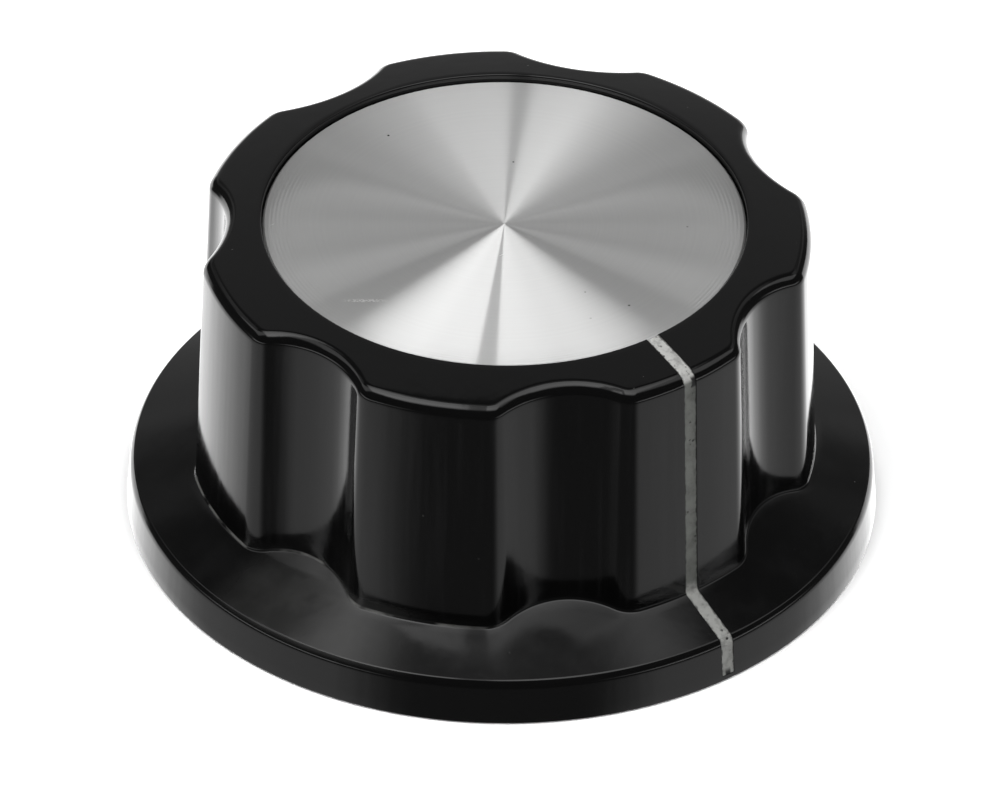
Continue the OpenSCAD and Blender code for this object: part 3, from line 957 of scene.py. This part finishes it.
class KNOB_OT_moulding(bpy.types.Operator):
    """Builds the black moulding in place of its solid"""

    bl_idname = "knob.moulding"
    bl_label = "Moulding"

    def execute(self, context):
        s = context.scene.knob_moulding
        body = solid("moulding", moulding_loops(s))
        ribs = []
        for k in range(s.ribs):
            t = s.screw_rib_t if k == 0 else s.rib_t
            inner = math.sqrt(s.boss_r**2 - t**2 / 4) - ROOT_SINK
            low = (inner, -t / 2, s.relief_h)
            high = (s.hollow_r + OVERRUN, t / 2, s.hollow_h + OVERRUN)
            ribs.append(box(f"rib{k}", low, high, math.pi / 2 + 2 * math.pi * k / s.ribs))
        combine(body, ribs, "UNION")
        groove = band("groove", line_path(s), s.foot_round / 2, -s.line_depth, s.line_w)
        hole = rod("access", (0, s.bush_r - HOLE_SINK, s.access_z), (0, s.skirt_r, s.access_z), s.access_r)
        combine(body, [groove, hole], "DIFFERENCE")
        smooth(body, SHARP_EDGE)
        dress(body, phenolic(context.scene.knob_phenolic, s))
        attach(body, "root")
        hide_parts("knob_body")
        return {"FINISHED"}


class KNOB_OT_cap_disc(bpy.types.Operator):
    """Gives the cap disc its turned face"""

    bl_idname = "knob.cap_disc"
    bl_label = "Cap disc"

    def execute(self, context):
        dress(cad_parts["cap_disc"], turned_aluminium(context.scene.knob_disc))
        return {"FINISHED"}


class KNOB_OT_pointer_line(bpy.types.Operator):
    """Gives the pointer line its paint"""

    bl_idname = "knob.pointer_line"
    bl_label = "Pointer line"

    def execute(self, context):
        paint = line_paint(context.scene.knob_line, context.scene.knob_moulding)
        dress(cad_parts["pointer_line"], paint)
        return {"FINISHED"}


class KNOB_OT_hardware(bpy.types.Operator):
    """Gives the bush and the set screw their metal"""

    bl_idname = "knob.hardware"
    bl_label = "Shaft hardware"

    def execute(self, context):
        settings = context.scene.knob_hardware
        dress(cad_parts["shaft_bush"], brass(settings))
        dress(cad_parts["set_screw"], screw_steel(settings))
        return {"FINISHED"}


def floor_look(s):
    """Pale floor that keeps the knob's shadow; mirrored, it gives way to the surroundings below it."""
    look = Look("floor")
    camera, glossy = look.start.node("ShaderNodeLightPath", out=("Is Camera Ray", "Is Glossy Ray"))
    tone = camera.mix((s.floor_tone,) * 3, (s.floor_white,) * 3)
    plain = look.start.node("ShaderNodeBsdfDiffuse", None, {"Color": tone})
    return look.close(glossy.blend(plain, look.start.node("ShaderNodeBsdfTransparent")))


def upper_light(s, away, across, z):
    """Light from above: a deep panel on the camera's side with a thin gap, its wings, and a dim room."""
    rise = z.most(LEAST_RISE)
    p, q = away / rise, across / rise
    aside = abs(q)
    panel = p.window(*PANEL_P) * aside.step(*PANEL_Q) * (1 - PANEL_SLANT * q)
    panel = panel * (1 - PANEL_FAR_DIM * p.step(*PANEL_FAR)) * (1 + PANEL_BAND_GAIN * p.window(*PANEL_BAND))
    panel = panel * (1 - PANEL_NEAR_DIM * p.step(*PANEL_NEAR))
    notch = aside.step(*NOTCH_Q) * p.step(*NOTCH_P)
    gap = (across / (math.cos(s.elevation) - away)).window(*GAP_WIDTH) * p.step(*GAP_END)
    panel = panel * (1 - NOTCH_DIM * notch) * (1 - GAP_DIM * gap)
    wings = (p - WING_LEAN * aside).step(*WING_EDGE) * aside.window(*WING_Q) * p.step(*WING_P)
    sides = aside.step(*SIDE_IN) * aside.step(*SIDE_OUT) * (p + SIDE_LEAN * aside).step(*SIDE_EDGE)
    sides = sides * p.step(*SIDE_FAR) + LOW_SIDE_SHARE * aside.window(*LOW_SIDE_Q) * p.window(*LOW_SIDE_P)
    behind = p.step(*BACK_P) * (abs(across) - BACK_LEAN * away).step(*BACK_WIDTH)
    corner = z.step(*CORNER_Z) * abs(across).step(*CORNER_ACROSS)
    back = s.room_back * (1 - CORNER_DIM * corner) + LOW_BACK * z.step(*LOW_BACK_Z)
    back = back + HORIZON_BACK * z.step(*HORIZON_BACK_Z)
    return s.room_dark + behind * back + sides * s.sides + wings * s.wings + panel * s.key


def lower_light(s, away, across, z):
    """What the knob mirrors below the horizon: the white floor, shaded towards the camera."""
    facing = -away / (away * away + across * across).root().most(LEAST_REACH)
    front = facing.step(*FRONT_FACING)
    side = s.floor_side + facing.step(*BEHIND_FACING) * (s.floor_behind - s.floor_side)
    bright = z.step(*FLOOR_Z).most(z.step(*BRIGHT_BEHIND_Z) * facing.step(*BRIGHT_BEHIND_FACING))
    far = z.window(*FAR_Z) * (1 - front) * facing.step(*FAR_FACING)
    return s.room_dark + bright * (side + front * (s.floor_front - side)) + far * s.floor_far


def studio(s):
    """World with the soft light above and the mirrored floor below, laid out by the camera's azimuth."""
    world = bpy.data.worlds.new("studio")
    world.use_nodes = True
    world.node_tree.nodes.clear()
    start = Value(world.node_tree, None)
    coords = start.node("ShaderNodeTexCoord", out="Generated")
    x, y, z = start.node("ShaderNodeSeparateXYZ", None, {0: coords}, ("X", "Y", "Z"))
    c, d = math.cos(s.azimuth), math.sin(s.azimuth)
    away, across = y * c - x * d, x * c + y * d
    above, below = upper_light(s, away, across, z), lower_light(s, away, across, z)
    light = above + z.step(*HORIZON_Z) * (below - above)
    lamp = start.node("ShaderNodeBackground", None, {"Color": (1.0, 1.0, 1.0), "Strength": light})
    start.node("ShaderNodeOutputWorld", None, {"Surface": lamp})
    return world


def photo_camera(s):
    """Camera at the photograph's viewing angle."""
    flat = math.cos(s.elevation)
    back = Vector((math.sin(s.azimuth) * flat, -math.cos(s.azimuth) * flat, math.sin(s.elevation)))
    right = Vector((math.cos(s.azimuth), math.sin(s.azimuth), 0.0))
    up = back.cross(right)
    across = right * math.cos(s.roll) + up * math.sin(s.roll)
    upward = up * math.cos(s.roll) - right * math.sin(s.roll)
    data = bpy.data.cameras.new("camera")
    data.sensor_width = s.sensor
    data.lens = s.lens
    data.clip_start, data.clip_end = s.clip_near, s.clip_far
    camera = bpy.data.objects.new("camera", data)
    place = Matrix((across, upward, back)).transposed().to_4x4()
    place.translation = Vector(s.aim) + back * s.distance
    camera.matrix_world = place
    return camera


class KNOB_OT_stage(bpy.types.Operator):
    """Sets the camera, the floor and the light"""

    bl_idname = "knob.stage"
    bl_label = "Stage"

    def execute(self, context):
        scene = context.scene
        s = scene.knob_stage
        scene.view_settings.view_transform = "Standard"
        scene.world = studio(s)
        sides = ((-1, -1), (1, -1), (1, 1), (-1, 1))
        corners = [(x * s.floor_reach, y * s.floor_reach, -s.floor_drop) for x, y in sides]
        floor = block("floor", corners, [[0, 1, 2, 3]])
        floor.data.materials.append(floor_look(s))
        camera = photo_camera(s)
        scene.collection.objects.link(camera)
        scene.camera = camera
        return {"FINISHED"}


class KNOB_PT_panel(bpy.types.Panel):
    """Lists the steps that build the knob's looks"""

    bl_label = "Knob"
    bl_idname = "KNOB_PT_panel"
    bl_space_type = "VIEW_3D"
    bl_region_type = "UI"
    bl_category = "Knob"

    def draw(self, context):
        for step in OPERATORS:
            self.layout.operator(step.bl_idname)


SETTINGS = {
    "knob_moulding": MouldingSettings,
    "knob_phenolic": PhenolicSettings,
    "knob_disc": DiscSettings,
    "knob_line": LineSettings,
    "knob_hardware": HardwareSettings,
    "knob_stage": StageSettings,
}
OPERATORS = (KNOB_OT_moulding, KNOB_OT_cap_disc, KNOB_OT_pointer_line, KNOB_OT_hardware, KNOB_OT_stage)


def register():
    for group in SETTINGS.values():
        bpy.utils.register_class(group)
    for made in (*OPERATORS, KNOB_PT_panel):
        bpy.utils.register_class(made)
    for name, group in SETTINGS.items():
        setattr(bpy.types.Scene, name, PointerProperty(type=group))


def unregister():
    for name in SETTINGS:
        delattr(bpy.types.Scene, name)
    for made in (KNOB_PT_panel, *reversed(OPERATORS), *reversed(SETTINGS.values())):
        bpy.utils.unregister_class(made)


def main():
    register()
    bpy.ops.knob.moulding()
    bpy.ops.knob.cap_disc()
    bpy.ops.knob.pointer_line()
    bpy.ops.knob.hardware()
    bpy.ops.knob.stage()


if __name__ == "__main__":
    main()
